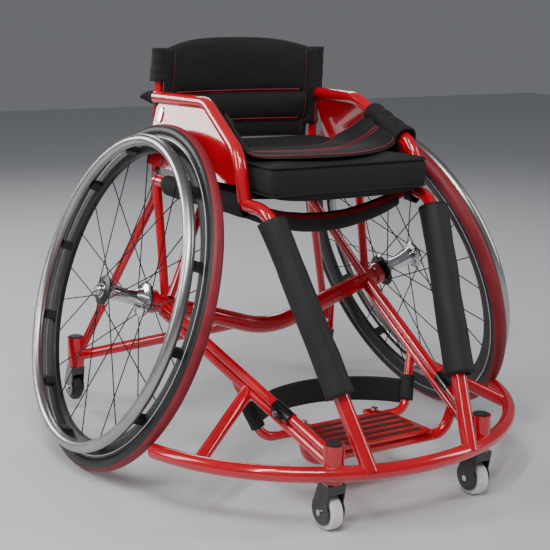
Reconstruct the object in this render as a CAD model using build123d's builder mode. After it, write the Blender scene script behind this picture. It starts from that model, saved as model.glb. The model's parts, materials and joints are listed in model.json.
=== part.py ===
"""Rigid sports wheelchair with cambered wheels, a hoop bumper and rear anti-tip casters.

Millimetres, +Z up, floor at z = 0. The chair faces -Y and +X is the rider's left.
The origin is on the floor under the middle of the overall length and width.
"""
from build123d import *
from math import atan2, cos, degrees, radians, sin, tan
import os

os.makedirs("parts", exist_ok=True)

# ---------------------------------------------------------------- driving dimensions
# main wheels
camber = 18.5
tyre_radius = 305.0
tyre_section = 12.5
wheel_x = 292.0
axle_y = 97.0
rim_bed = 284.0
rim_inner = 254.0
rim_wall = 1.8
handrim_radius = 268.0
handrim_offset = 34.0
handrim_section = 10.0
tab_count = 12
spokes_per_flange = 12
spoke_d = 2.0
spoke_lead = 60.0
spoke_circle = 22.5
hub_half = 45.0
axle_d = 12.7
running_clearance = 0.05

# frame tubes
camber_d = 32.0
camber_wall = 3.0
camber_bend = 160.0
bumper_d = 25.0
bumper_z = 97.0
bumper_tip = (347.0, -147.0)
rail_d = 22.0
leg_d = 25.4
high_tube_d = 16.0
low_tube_d = 17.0
strut_d = 16.0
stay_d = 20.0
wing_d = 22.0
cross_d = 18.0
foot_d = 19.0
wall = 2.0

# casters
barrel_d = 33.0
barrel_x = 143.0
barrel_y = -348.0
barrel_low = 80.0
barrel_top = 141.0
caster_radius = 29.0
caster_width = 22.0
caster_trail = 11.0
stem_d = 10.0
cap_radius = 13.2
cap_depth = 4.0
rear_barrel_x = 288.0
rear_barrel_y = 340.0
rear_barrel_low = 94.0
rear_barrel_top = 151.0
rear_wheel_radius = 26.0
rear_wheel_z = 48.0
rear_trail = 12.0

# seat, guards and footrest
cushion_half = 157.0
cushion_front = -170.0
cushion_back = 196.0
cushion_low = 485.0
cushion_top = 540.0
guard_bend = 62.0
guard_thickness = 3.0
plate_top = 98.0
plate_thickness = 4.0
pad_d = 46.0
soft_gap = 0.4

# ---------------------------------------------------------------- shared reference lines
wheel_z = (tyre_radius - tyre_section) * cos(radians(camber)) + tyre_section
axle_dir = Vector(cos(radians(camber)), 0, sin(radians(camber)))
wheel_centre = Vector(wheel_x, axle_y, wheel_z)
wheel_axis = Axis(wheel_centre, axle_dir)
# sketch plane through the axle: local x is the radius, local y runs outboard
wheel_profile = Plane(origin=wheel_centre, x_dir=(0, 1, 0), z_dir=(sin(radians(camber)), 0, -cos(radians(camber))))
# plane square to the axle through the middle of the rim
wheel_plane = Plane(origin=wheel_centre, x_dir=(0, 1, 0), z_dir=axle_dir)

camber_end = wheel_centre - axle_dir * 62
camber_low = wheel_z - wheel_x * tan(radians(camber))
camber_path = [
    (-camber_end.X, axle_y, camber_end.Z),
    (0, axle_y, camber_low),
    (camber_end.X, axle_y, camber_end.Z),
]


def lower_line(y, lift=0.0):
    """Point on the long lower frame tube at the given y, raised by lift."""
    run = axle_y - y
    return (218.0 - 0.18 * run, y, 250.5 - 0.3425 * run + lift)


high_lift = 17.6
low_path = [lower_line(axle_y), lower_line(barrel_y + 6)]
high_path = [lower_line(axle_y, high_lift), lower_line(barrel_y + 6, high_lift)]
rail_path = [(212, 131, 480), (159.5, -168, 469.5), (96.3, -380.7, bumper_z)]
rail_bend = 55.0
leg_joint = (119.7, -302.0, 234.8)
guard_path = [(170, 221, 616), (152.5, 56, 619), (173, -98, 550), (171, -112, 471)]
back_path = [(165, 216, 700), (168, 232, 432), (287, 340, 106)]
front_foot_path = [(148, -268, 127), (135, -264, 83), (-135, -264, 83), (-148, -268, 127)]
rear_foot_path = [(181.5, -104, 182), (146, -138, 80), (-146, -138, 80), (-181.5, -104, 182)]
caster_y = barrel_y + caster_trail
rear_wheel_y = rear_barrel_y + rear_trail


# ---------------------------------------------------------------- helpers
def bar(points, diameter, bend=0.0):
    """Solid round bar along straight runs joined by bends of the given radius."""
    with BuildPart() as made:
        with BuildLine():
            if bend:
                path = FilletPolyline(*points, radius=bend)
            else:
                path = Polyline(*points)
        with BuildSketch(Plane(origin=path @ 0, z_dir=path % 0)):
            Circle(diameter / 2)
        sweep()
    return made.part


def pipe(points, diameter, thickness, bend=0.0):
    """Round tube: a bar with a smaller bar taken out of its middle."""
    with BuildPart() as made:
        add(bar(points, diameter, bend))
        add(bar(points, diameter - 2 * thickness, bend), mode=Mode.SUBTRACT)
    return made.part


def hoop(diameter):
    """The bumper's path swept as a solid bar of the given diameter."""
    with BuildPart() as made:
        with BuildLine() as path:
            middle = ThreePointArc((-160, -354, bumper_z), (0, -389.5, bumper_z), (160, -354, bumper_z))
            TangentArc((160, -354, bumper_z), (*bumper_tip, bumper_z), tangent=middle % 1)
            TangentArc((-160, -354, bumper_z), (-bumper_tip[0], bumper_tip[1], bumper_z), tangent=(middle % 0) * -1)
        with BuildSketch(Plane(origin=(0, -389.5, bumper_z), z_dir=(1, 0, 0))):
            Circle(diameter / 2)
        sweep(path=path.wire())
    return made.part


def hoop_end_direction():
    """Direction in which the left end of the bumper points."""
    middle = Edge.make_three_point_arc((-160, -354, bumper_z), (0, -389.5, bumper_z), (160, -354, bumper_z))
    side = Edge.make_tangent_arc((160, -354, bumper_z), middle % 1, (*bumper_tip, bumper_z))
    return side % 1


def upright(x, y, low, high, diameter):
    """Solid vertical cylinder between two heights."""
    with BuildPart(Plane(origin=(x, y, low))) as made:
        Cylinder(diameter / 2, high - low, align=(Align.CENTER, Align.CENTER, Align.MIN))
    return made.part


def mirrored(part):
    """The same piece on the other side of the chair."""
    return part.mirror(Plane.YZ)


camber_bar = bar(camber_path, camber_d, camber_bend)
bumper_bar = hoop(bumper_d)
low_bar = bar(low_path, low_tube_d)
high_bar = bar(high_path, high_tube_d)
rail_bar = bar(rail_path, rail_d, rail_bend)
leg_bar = bar([leg_joint, rail_path[2]], leg_d)
back_bar = bar(back_path, strut_d, 60)
guard_bar = bar(guard_path, rail_d, guard_bend)
front_barrel_bar = upright(barrel_x, barrel_y, barrel_low, barrel_top, barrel_d)
rear_barrel_bar = upright(rear_barrel_x, rear_barrel_y, rear_barrel_low, rear_barrel_top, barrel_d - 1)
rear_cap_bar = upright(rear_barrel_x, rear_barrel_y, rear_barrel_top, rear_barrel_top + 5.5, 2 * cap_radius + 1)
post_path = [(213.5, 94, 266), (212, 131, 480)]
post_bar = bar(post_path, strut_d)
front_foot_bar = bar(front_foot_path, foot_d, 30)
rear_foot_bar = bar(rear_foot_path, strut_d, 30)

# ---------------------------------------------------------------- frame: axle line
with BuildPart() as camber_tube:
    add(camber_bar)
    add(bar(camber_path, camber_d - 2 * camber_wall, camber_bend), mode=Mode.SUBTRACT)

with BuildPart() as axle_receivers:
    with BuildSketch(wheel_profile):
        with BuildLine():
            Polyline(
                (axle_d / 2, -46.2), (19, -46.2), (21, -48), (21, -60), (19, -62),
                (camber_d / 2 - camber_wall, -62), (camber_d / 2 - camber_wall, -118),
                (axle_d / 2, -118), close=True,
            )
        make_face()
    revolve(axis=wheel_axis)
    mirror(about=Plane.YZ)

with BuildPart() as wheel_axles:
    with BuildSketch(wheel_profile):
        with BuildLine():
            Polyline(
                (0, -112), (axle_d / 2, -112), (axle_d / 2, 46), (9.5, 46), (9.5, 50), (8, 52),
                (3.05, 52), (3.05, 17), (0, 17), close=True,
            )
        make_face()
    revolve(axis=wheel_axis)
    mirror(about=Plane.YZ)

# ---------------------------------------------------------------- frame: long side tubes
with BuildPart() as main_tube_left:
    add(pipe(low_path, low_tube_d, wall))
    add(camber_bar, mode=Mode.SUBTRACT)
    add(front_barrel_bar, mode=Mode.SUBTRACT)
    add(bumper_bar, mode=Mode.SUBTRACT)

with BuildPart() as main_tube_right:
    add(mirrored(main_tube_left.part))

with BuildPart() as telescope_left:
    add(pipe(high_path, high_tube_d, wall))
    add(camber_bar, mode=Mode.SUBTRACT)
    add(front_barrel_bar, mode=Mode.SUBTRACT)

with BuildPart() as telescope_right:
    add(mirrored(telescope_left.part))

clamp_start = Vector(*lower_line(-210, high_lift)) + Vector(2, 0, 0)
clamp_end = Vector(*lower_line(-248, high_lift)) + Vector(2, 0, 0)
clamp_mid = (clamp_start + clamp_end) * 0.5
with BuildPart() as tube_clamps:
    add(bar([clamp_start, clamp_end], high_tube_d + 6))
    with BuildSketch(Plane(origin=clamp_mid + Vector(16, 0, 1), x_dir=clamp_end - clamp_start, z_dir=(1, 0, 0))):
        RectangleRounded(26, 11, 3)
    extrude(amount=-14)
    add(high_bar, mode=Mode.SUBTRACT)
    add(low_bar, mode=Mode.SUBTRACT)
    mirror(about=Plane.YZ)

# ---------------------------------------------------------------- frame: bumper and legs
with BuildPart() as bumper_hoop:
    add(bumper_bar)
    add(hoop(bumper_d - 2 * wall), mode=Mode.SUBTRACT)
    add(front_barrel_bar, mode=Mode.SUBTRACT)
    add(mirrored(front_barrel_bar), mode=Mode.SUBTRACT)

bumper_end = Vector(*bumper_tip, bumper_z)
bumper_out = hoop_end_direction()
with BuildPart() as bumper_caps:
    with BuildSketch(Plane(origin=bumper_end, z_dir=bumper_out)):
        Circle(bumper_d / 2)
    extrude(amount=8)
    fillet(bumper_caps.faces().sort_by(Axis(bumper_end, bumper_out))[-1].edges(), radius=7)
    mirror(about=Plane.YZ)

with BuildPart() as wing_struts:
    add(pipe([lower_line(-140), (306, -218, bumper_z)], wing_d, wall))
    add(bumper_bar, mode=Mode.SUBTRACT)
    add(low_bar, mode=Mode.SUBTRACT)
    add(high_bar, mode=Mode.SUBTRACT)
    mirror(about=Plane.YZ)

with BuildPart() as leg_tubes:
    add(leg_bar)
    add(rail_bar, mode=Mode.SUBTRACT)
    add(bumper_bar, mode=Mode.SUBTRACT)
    mirror(about=Plane.YZ)

with BuildPart() as side_rail_left:
    add(pipe(rail_path, rail_d, wall, rail_bend))
    add(bumper_bar, mode=Mode.SUBTRACT)

with BuildPart() as side_rail_right:
    add(mirrored(side_rail_left.part))

# ---------------------------------------------------------------- frame: rear struts and seat bars
seat_strut_path = [(206, 92, 277), (99, 154, 452)]
rear_cross_points = [(-206, 134, 477), (0, 165, 449), (206, 134, 477)]
# short bar that ties the back post to the rail corner behind the guard
tie_path = [(168, 226, 478), (208, 134, 478)]
front_cross_points = [(-173, -83, 470), (0, -83, 431), (173, -83, 470)]


def bowed(points, diameter):
    """Solid bar along the arc through three points."""
    with BuildPart() as made:
        with BuildLine():
            path = ThreePointArc(*points)
        with BuildSketch(Plane(origin=path @ 0, z_dir=path % 0)):
            Circle(diameter / 2)
        sweep()
    return made.part


rear_cross_bar = bowed(rear_cross_points, cross_d)
front_cross_bar = bowed(front_cross_points, cross_d)

with BuildPart() as rear_struts:
    add(pipe(post_path, strut_d, wall))
    add(pipe(seat_strut_path, strut_d, wall))
    add(bar(tie_path, strut_d))
    add(camber_bar, mode=Mode.SUBTRACT)
    add(back_bar, mode=Mode.SUBTRACT)
    add(high_bar, mode=Mode.SUBTRACT)
    add(rail_bar, mode=Mode.SUBTRACT)
    add(rear_cross_bar, mode=Mode.SUBTRACT)
    mirror(about=Plane.YZ)

with BuildPart() as seat_cross_tubes:
    add(rear_cross_bar)
    add(bowed(rear_cross_points, cross_d - 2 * wall), mode=Mode.SUBTRACT)
    add(front_cross_bar)
    add(bowed(front_cross_points, cross_d - 2 * wall), mode=Mode.SUBTRACT)
    add(rail_bar, mode=Mode.SUBTRACT)
    add(mirrored(rail_bar), mode=Mode.SUBTRACT)
    add(post_bar, mode=Mode.SUBTRACT)
    add(mirrored(post_bar), mode=Mode.SUBTRACT)

with BuildPart() as back_post_left:
    add(pipe(back_path, strut_d, wall, 60))
    add(rear_barrel_bar, mode=Mode.SUBTRACT)
    add(rear_cap_bar, mode=Mode.SUBTRACT)

with BuildPart() as back_post_right:
    add(mirrored(back_post_left.part))

with BuildPart() as antitip_stays:
    add(pipe([(rear_barrel_x, rear_barrel_y, 112), (64, axle_y, 211)], stay_d, wall))
    add(camber_bar, mode=Mode.SUBTRACT)
    add(rear_barrel_bar, mode=Mode.SUBTRACT)
    add(back_bar, mode=Mode.SUBTRACT)
    mirror(about=Plane.YZ)

# ---------------------------------------------------------------- caster barrels
with BuildPart() as caster_barrels:
    add(front_barrel_bar)
    with Locations((barrel_x, barrel_y, barrel_low)):
        Cylinder(
            stem_d / 2 + running_clearance, 56,
            align=(Align.CENTER, Align.CENTER, Align.MIN), mode=Mode.SUBTRACT,
        )
    with Locations((barrel_x, barrel_y, barrel_top - cap_depth)):
        Cylinder(cap_radius, 10, align=(Align.CENTER, Align.CENTER, Align.MIN), mode=Mode.SUBTRACT)
    add(rear_barrel_bar)
    with Locations((rear_barrel_x, rear_barrel_y, rear_barrel_low)):
        Cylinder(
            stem_d / 2 + running_clearance, 52,
            align=(Align.CENTER, Align.CENTER, Align.MIN), mode=Mode.SUBTRACT,
        )
    with Locations((rear_barrel_x, rear_barrel_y, rear_barrel_top - cap_depth)):
        Cylinder(cap_radius, 10, align=(Align.CENTER, Align.CENTER, Align.MIN), mode=Mode.SUBTRACT)
    mirror(about=Plane.YZ)

with BuildPart() as barrel_caps:
    with BuildSketch(Plane(origin=(0, 0, barrel_top - cap_depth))):
        with Locations((barrel_x, barrel_y)):
            Circle(cap_radius)
    extrude(amount=cap_depth + 2, taper=8)
    with BuildSketch(Plane(origin=(0, 0, rear_barrel_top - cap_depth))):
        with Locations((rear_barrel_x, rear_barrel_y)):
            Circle(cap_radius)
    extrude(amount=cap_depth + 2, taper=8)
    mirror(about=Plane.YZ)

# ---------------------------------------------------------------- guards
with BuildPart() as guard_tubes:
    add(pipe(guard_path, rail_d, wall, guard_bend))
    add(rail_bar, mode=Mode.SUBTRACT)
    add(back_bar, mode=Mode.SUBTRACT)
    mirror(about=Plane.YZ)

guard_plane = Plane(origin=(166.5, 212, 612), x_dir=(152.5 - 166.5, 50 - 212, 614 - 612), z_dir=Vector(
    152.5 - 166.5, 50 - 212, 614 - 612).cross(Vector(171 - 166.5, -106 - 212, 500 - 612)))

guard_outward = 1 if guard_plane.z_dir.X > 0 else -1


def on_guard(y, z):
    """Local coordinates on the guard plane of the point that stands at the given y and z."""
    normal = guard_plane.z_dir
    origin = guard_plane.origin
    x = origin.X - (normal.Y * (y - origin.Y) + normal.Z * (z - origin.Z)) / normal.X
    local = guard_plane.to_local_coords(Vector(x, y, z))
    return (local.X, local.Y)


with BuildPart() as guard_panels:
    with BuildSketch(guard_plane):
        with BuildLine():
            Polyline(
                on_guard(-106, 500), on_guard(60, 497), on_guard(205, 500), on_guard(212, 540),
                on_guard(216, 612), on_guard(60, 616), on_guard(10, 598), on_guard(-84, 551), close=True,
            )
        make_face()
    extrude(amount=guard_thickness / 2, both=True)
    add(guard_bar, mode=Mode.SUBTRACT)
    add(back_bar, mode=Mode.SUBTRACT)
    add(rail_bar, mode=Mode.SUBTRACT)
    add(post_bar, mode=Mode.SUBTRACT)
    mirror(about=Plane.YZ)

# ---------------------------------------------------------------- footrest
with BuildPart() as foot_tube_front:
    add(pipe(front_foot_path, foot_d, wall, 30))
    add(low_bar, mode=Mode.SUBTRACT)
    add(mirrored(low_bar), mode=Mode.SUBTRACT)

with BuildPart() as foot_tube_rear:
    add(pipe(rear_foot_path, strut_d, wall, 30))
    add(low_bar, mode=Mode.SUBTRACT)
    add(mirrored(low_bar), mode=Mode.SUBTRACT)

with BuildPart() as footplate:
    with BuildSketch(Plane(origin=(0, 0, plate_top - plate_thickness))):
        with BuildLine():
            Polyline((-90, -168), (90, -168), (101, -278), (-101, -278), close=True)
        make_face()
        fillet(vertices(), radius=6)
    extrude(amount=plate_thickness)
    with Locations((72, -155, plate_top - plate_thickness - 3), (-72, -155, plate_top - plate_thickness - 3)):
        Box(24, 48, 6)
    add(rear_foot_bar, mode=Mode.SUBTRACT)
    add(front_foot_bar, mode=Mode.SUBTRACT)

with BuildPart() as footplate_grips:
    with Locations(*[(0, -178 - 21 * row, plate_top) for row in range(5)]):
        Box(172, 10, 0.8, align=(Align.CENTER, Align.CENTER, Align.MIN))

# ---------------------------------------------------------------- bolts and trim
with BuildPart() as frame_bolts:
    with Locations((72, -150, plate_top)):
        Cylinder(6, 4, align=(Align.CENTER, Align.CENTER, Align.MIN))
        Cylinder(3, 4, align=(Align.CENTER, Align.CENTER, Align.MIN), mode=Mode.SUBTRACT)
    with BuildSketch(guard_plane):
        with Locations(on_guard(193, 586)):
            Ellipse(6, 14)
    extrude(amount=guard_outward * (guard_thickness / 2 + 2.5))
    add(guard_panels.part, mode=Mode.SUBTRACT)
    with BuildSketch(Plane(origin=clamp_mid + Vector(16, 0, 1), x_dir=(0, 1, 0), z_dir=(1, 0, 0))):
        Circle(4.2)
    extrude(amount=3)
    mirror(about=Plane.YZ)

# ---------------------------------------------------------------- main wheels
with BuildPart() as tyre_left:
    with BuildSketch(wheel_profile):
        with Locations((tyre_radius - tyre_section, 0)):
            Circle(tyre_section)
        with Locations((rim_bed - 20, 0)):
            Rectangle(40, 40, mode=Mode.SUBTRACT)
    revolve(axis=wheel_axis)

with BuildPart() as rim_left:
    with BuildSketch(wheel_profile):
        with BuildLine():
            Polyline(
                (rim_bed, -9.5), (rim_bed, 9.5), (278, 10.5), (266, 9), (rim_inner + 2, 5.5),
                (rim_inner, 3.5), (rim_inner, -3.5), (rim_inner + 2, -5.5), (266, -9),
                (278, -10.5), close=True,
            )
        make_face()
        offset(amount=-rim_wall, mode=Mode.SUBTRACT)
    revolve(axis=wheel_axis)

with BuildPart() as handrim_left:
    with BuildSketch(wheel_profile):
        with Locations((handrim_radius, handrim_offset)):
            Circle(handrim_section)
            Circle(handrim_section - 1.6, mode=Mode.SUBTRACT)
    revolve(axis=wheel_axis)

with BuildPart() as handrim_solid:
    with BuildSketch(wheel_profile):
        with Locations((handrim_radius, handrim_offset)):
            Circle(handrim_section)
    revolve(axis=wheel_axis)

with BuildPart() as rim_solid:
    with BuildSketch(wheel_profile):
        with BuildLine():
            Polyline(
                (rim_bed, -9.5), (rim_bed, 9.5), (278, 10.5), (266, 9), (rim_inner + 2, 5.5),
                (rim_inner, 3.5), (rim_inner, -3.5), (rim_inner + 2, -5.5), (266, -9),
                (278, -10.5), close=True,
            )
        make_face()
    revolve(axis=wheel_axis)

with BuildPart() as handrim_tabs_left:
    with Locations(wheel_plane):
        with PolarLocations(263, tab_count, start_angle=8):
            Box(12, 15, 24, align=(Align.CENTER, Align.CENTER, Align.MIN))
    add(rim_solid.part, mode=Mode.SUBTRACT)
    add(handrim_solid.part, mode=Mode.SUBTRACT)

with BuildPart() as hub_left:
    with BuildSketch(wheel_profile):
        bore = axle_d / 2 + running_clearance
        with BuildLine():
            Polyline(
                (bore, -hub_half), (12, -hub_half), (14, -43), (27, -42), (31, -41), (31, -36.5), (28, -35),
                (19, -32), (14, -20), (12.5, -4), (12.5, 10), (15, 24), (18, 33), (26, 35.5), (26, 41),
                (16, 42.5), (13, hub_half), (bore, hub_half), close=True,
            )
        make_face()
    revolve(axis=wheel_axis)
    with Locations(wheel_plane.offset(-45)):
        with PolarLocations(26.5, 12):
            Cylinder(2.2, 15, mode=Mode.SUBTRACT)


def spoke(flange_height, hub_angle, rim_angle, shift):
    """Round spoke from a flange to the rim, in the wheel's own polar coordinates."""
    start = wheel_plane.from_local_coords(
        (spoke_circle * cos(radians(hub_angle)), spoke_circle * sin(radians(hub_angle)), flange_height + shift)
    )
    end = wheel_plane.from_local_coords(
        ((rim_inner + 1.2) * cos(radians(rim_angle)), (rim_inner + 1.2) * sin(radians(rim_angle)), 0.02 * flange_height)
    )
    return bar([start, end], spoke_d)


with BuildPart() as spokes_left:
    for height, turn in ((38.2, 0.0), (-38.6, 15.0)):
        for index in range(spokes_per_flange):
            lead = spoke_lead if index % 2 == 0 else -spoke_lead
            side = 1.7 if index % 2 == 0 else -1.7
            angle = index * 360 / spokes_per_flange + turn
            add(spoke(height, angle, angle + lead, side))

with BuildPart() as axle_button_left:
    with BuildSketch(wheel_profile):
        with BuildLine():
            Polyline((0, 21), (3.0, 21), (3.0, 55), (2.2, 56), (0, 56), close=True)
        make_face()
    revolve(axis=wheel_axis)

with BuildPart() as tyre_right:
    add(mirrored(tyre_left.part))
with BuildPart() as rim_right:
    add(mirrored(rim_left.part))
with BuildPart() as handrim_right:
    add(mirrored(handrim_left.part))
with BuildPart() as handrim_tabs_right:
    add(mirrored(handrim_tabs_left.part))
with BuildPart() as hub_right:
    add(mirrored(hub_left.part))
with BuildPart() as spokes_right:
    add(mirrored(spokes_left.part))
with BuildPart() as axle_button_right:
    add(mirrored(axle_button_left.part))

# ---------------------------------------------------------------- casters
fork_gap = caster_width / 2 + 1.5
fork_plate = 3.5
crown_top = barrel_low - 0.6
crown_low = 63.0
with BuildPart() as caster_fork_left:
    with BuildSketch(Plane(origin=(barrel_x, 0, 0), x_dir=(0, 1, 0), z_dir=(1, 0, 0))):
        with Locations((caster_y, caster_radius + 3)):
            Circle(24)
        with BuildLine():
            Polyline(
                (barrel_y - 15, crown_top), (barrel_y + 17, crown_top), (caster_y + 20, 45),
                (caster_y, 30), (caster_y - 20, 45), close=True,
            )
        make_face()
    extrude(amount=fork_gap + fork_plate, both=True)
    with Locations((barrel_x, barrel_y, crown_low)):
        Box(2 * fork_gap, 200, 200, align=(Align.CENTER, Align.CENTER, Align.MAX), mode=Mode.SUBTRACT)
    fillet(caster_fork_left.faces().sort_by(Axis.X)[-1].outer_wire().edges(), radius=2)
    fillet(caster_fork_left.faces().sort_by(Axis.X)[0].outer_wire().edges(), radius=2)
    with Locations((barrel_x, barrel_y, crown_top - 1)):
        Cylinder(stem_d / 2, barrel_top - crown_top - 8, align=(Align.CENTER, Align.CENTER, Align.MIN))
    with Locations(Location((barrel_x, caster_y, caster_radius), (0, 90, 0))):
        Cylinder(4, 2 * (fork_gap + fork_plate))
        with Locations((0, 0, fork_gap + fork_plate + 1.5), (0, 0, -fork_gap - fork_plate - 1.5)):
            Cylinder(5, 3)

with BuildPart() as caster_fork_right:
    add(mirrored(caster_fork_left.part))

with BuildPart() as caster_tyre_left:
    with BuildSketch(Plane(origin=(barrel_x, caster_y, caster_radius), x_dir=(0, 1, 0), z_dir=(0, 0, -1))):
        with Locations((caster_radius - 5.5, 0)):
            RectangleRounded(11, caster_width, 5.2)
    revolve(axis=Axis((barrel_x, caster_y, caster_radius), (1, 0, 0)))

with BuildPart() as caster_hub_left:
    with BuildSketch(Plane(origin=(barrel_x, caster_y, caster_radius), x_dir=(0, 1, 0), z_dir=(0, 0, -1))):
        with BuildLine():
            Polyline(
                (4 + running_clearance, -12), (8, -12), (9, -9), (15, -7), (18, -8),
                (18, 8), (15, 7), (9, 9), (8, 12), (4 + running_clearance, 12), close=True,
            )
        make_face()
    revolve(axis=Axis((barrel_x, caster_y, caster_radius), (1, 0, 0)))
    with Locations(Location((barrel_x, caster_y, caster_radius), (0, 90, 0))):
        with PolarLocations(12, 6):
            Cylinder(2.2, 30, mode=Mode.SUBTRACT)

with BuildPart() as caster_tyre_right:
    add(mirrored(caster_tyre_left.part))
with BuildPart() as caster_hub_right:
    add(mirrored(caster_hub_left.part))

rear_gap = 10.0
rear_plate = 3.0
rear_crown = rear_barrel_low - 0.6
with BuildPart() as antitip_fork_left:
    with BuildSketch(Plane(origin=(rear_barrel_x, 0, 0), x_dir=(0, 1, 0), z_dir=(1, 0, 0))):
        with Locations((rear_wheel_y, rear_wheel_z + 4)):
            Circle(21)
        with BuildLine():
            Polyline(
                (rear_barrel_y - 14, rear_crown), (rear_barrel_y + 17, rear_crown), (rear_wheel_y + 17, 64),
                (rear_wheel_y, 50), (rear_wheel_y - 19, 60), close=True,
            )
        make_face()
    extrude(amount=rear_gap + rear_plate, both=True)
    with Locations((rear_barrel_x, rear_barrel_y, rear_crown - 16)):
        Box(2 * rear_gap, 200, 200, align=(Align.CENTER, Align.CENTER, Align.MAX), mode=Mode.SUBTRACT)
    fillet(antitip_fork_left.faces().sort_by(Axis.X)[-1].outer_wire().edges(), radius=2)
    fillet(antitip_fork_left.faces().sort_by(Axis.X)[0].outer_wire().edges(), radius=2)
    with Locations((rear_barrel_x, rear_barrel_y, rear_crown - 1)):
        Cylinder(stem_d / 2, rear_barrel_top - rear_crown - 8, align=(Align.CENTER, Align.CENTER, Align.MIN))
    with Locations(Location((rear_barrel_x, rear_wheel_y, rear_wheel_z), (0, 90, 0))):
        Cylinder(3, 2 * (rear_gap + rear_plate))
        with Locations((0, 0, rear_gap + rear_plate + 1.2), (0, 0, -rear_gap - rear_plate - 1.2)):
            Cylinder(5, 2.4)

with BuildPart() as antitip_fork_right:
    add(mirrored(antitip_fork_left.part))

with BuildPart() as antitip_wheel_left:
    with BuildSketch(Plane(origin=(rear_barrel_x, rear_wheel_y, rear_wheel_z), x_dir=(0, 1, 0), z_dir=(0, 0, -1))):
        with BuildLine():
            Polyline(
                (3 + running_clearance, -9), (8, -9), (9, -6), (17, -6), (18, -8), (23, -8.5), (26, -5),
                (26, 5), (23, 8.5), (18, 8), (17, 6), (9, 6), (8, 9), (3 + running_clearance, 9),
                close=True,
            )
        make_face()
    revolve(axis=Axis((rear_barrel_x, rear_wheel_y, rear_wheel_z), (1, 0, 0)))

with BuildPart() as antitip_wheel_right:
    add(mirrored(antitip_wheel_left.part))

# ---------------------------------------------------------------- soft goods
with BuildPart() as seat_cushion:
    with Locations((0, (cushion_front + cushion_back) / 2, cushion_low)):
        Box(
            2 * cushion_half, cushion_back - cushion_front, cushion_top - cushion_low,
            align=(Align.CENTER, Align.CENTER, Align.MIN),
        )
    fillet(seat_cushion.edges(), radius=9)


rail_gap_bar = bar(rail_path, rail_d + 2 * soft_gap, rail_bend)
guard_gap_bar = bar(guard_path, rail_d + 2 * soft_gap, guard_bend)


def along_rail(y):
    """Centre of the seat rail at the given y."""
    part_way = (y + 165) / (131 + 165)
    return Vector(160 + 52 * part_way, y, 469.5 + 10.5 * part_way)


sling_front = along_rail(-112)
sling_back = along_rail(100)
with BuildPart() as seat_sling:
    with BuildSketch(Plane(origin=(0, 0, 480))):
        with BuildLine():
            Polyline(
                (sling_front.X, sling_front.Y), (sling_back.X, sling_back.Y), (-sling_back.X, sling_back.Y),
                (-sling_front.X, sling_front.Y), close=True,
            )
        make_face()
    extrude(amount=3)
    for side in (1, -1):
        start = Vector(side * sling_front.X, sling_front.Y, sling_front.Z - 4)
        run = Vector(side * (sling_back.X - sling_front.X), sling_back.Y - sling_front.Y, sling_back.Z - sling_front.Z)
        with BuildSketch(Plane(origin=start, x_dir=(1, 0, 0), z_dir=(0, -1, 0))):
            RectangleRounded(28, 34, 12)
        extrude(amount=run.length, dir=run)
    for side in (rail_gap_bar, mirrored(rail_gap_bar), guard_gap_bar, mirrored(guard_gap_bar)):
        add(side, mode=Mode.SUBTRACT)
    add(bowed(front_cross_points, cross_d + 2 * soft_gap), mode=Mode.SUBTRACT)

with BuildPart() as front_bar_sleeve:
    whole_arc = Edge.make_three_point_arc(*front_cross_points)
    sleeve_arc = whole_arc.trim(0.08, 0.92)
    with BuildSketch(Plane(origin=sleeve_arc @ 0, z_dir=sleeve_arc % 0)):
        Circle(cross_d / 2 + 4.5)
        Circle(cross_d / 2 + soft_gap, mode=Mode.SUBTRACT)
    sweep(path=sleeve_arc)

post_dir = (Vector(*back_path[0]) - Vector(*back_path[1])).normalized()
post_top = Vector(*back_path[0])
with BuildPart() as back_upholstery:
    with BuildSketch(Plane(origin=(0, 0, 543))):
        with BuildLine():
            outer = ThreePointArc((-157, 232, 0), (0, 262, 0), (157, 232, 0))
            inner = ThreePointArc((157, 212, 0), (0, 238, 0), (-157, 212, 0))
            Line(outer @ 1, inner @ 0)
            Line(inner @ 1, outer @ 0)
        make_face()
    extrude(amount=171)
    add(bar([post_top + post_dir * 8, post_top - post_dir * 62], strut_d + 12))
    add(mirrored(bar([post_top + post_dir * 8, post_top - post_dir * 62], strut_d + 12)))
    for side in (back_bar, mirrored(back_bar)):
        add(side, mode=Mode.SUBTRACT)
    add(bar([post_top + post_dir, post_top - post_dir * 200], strut_d + 2 * soft_gap), mode=Mode.SUBTRACT)
    add(mirrored(bar([post_top + post_dir, post_top - post_dir * 200], strut_d + 2 * soft_gap)), mode=Mode.SUBTRACT)
    add(guard_bar, mode=Mode.SUBTRACT)
    add(mirrored(guard_bar), mode=Mode.SUBTRACT)

leg_start = Vector(*rail_path[1])
leg_run = (Vector(*rail_path[2]) - leg_start).normalized()
pad_top = leg_start + leg_run * 12
pad_low = leg_start + leg_run * 306
with BuildPart() as leg_pad_left:
    add(bar([pad_top, pad_low], pad_d))
    add(bar([pad_top - leg_run * 20, pad_low + leg_run * 20], leg_d + 2 * soft_gap), mode=Mode.SUBTRACT)
    add(rail_gap_bar, mode=Mode.SUBTRACT)

with BuildPart() as leg_pad_right:
    add(mirrored(leg_pad_left.part))

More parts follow.
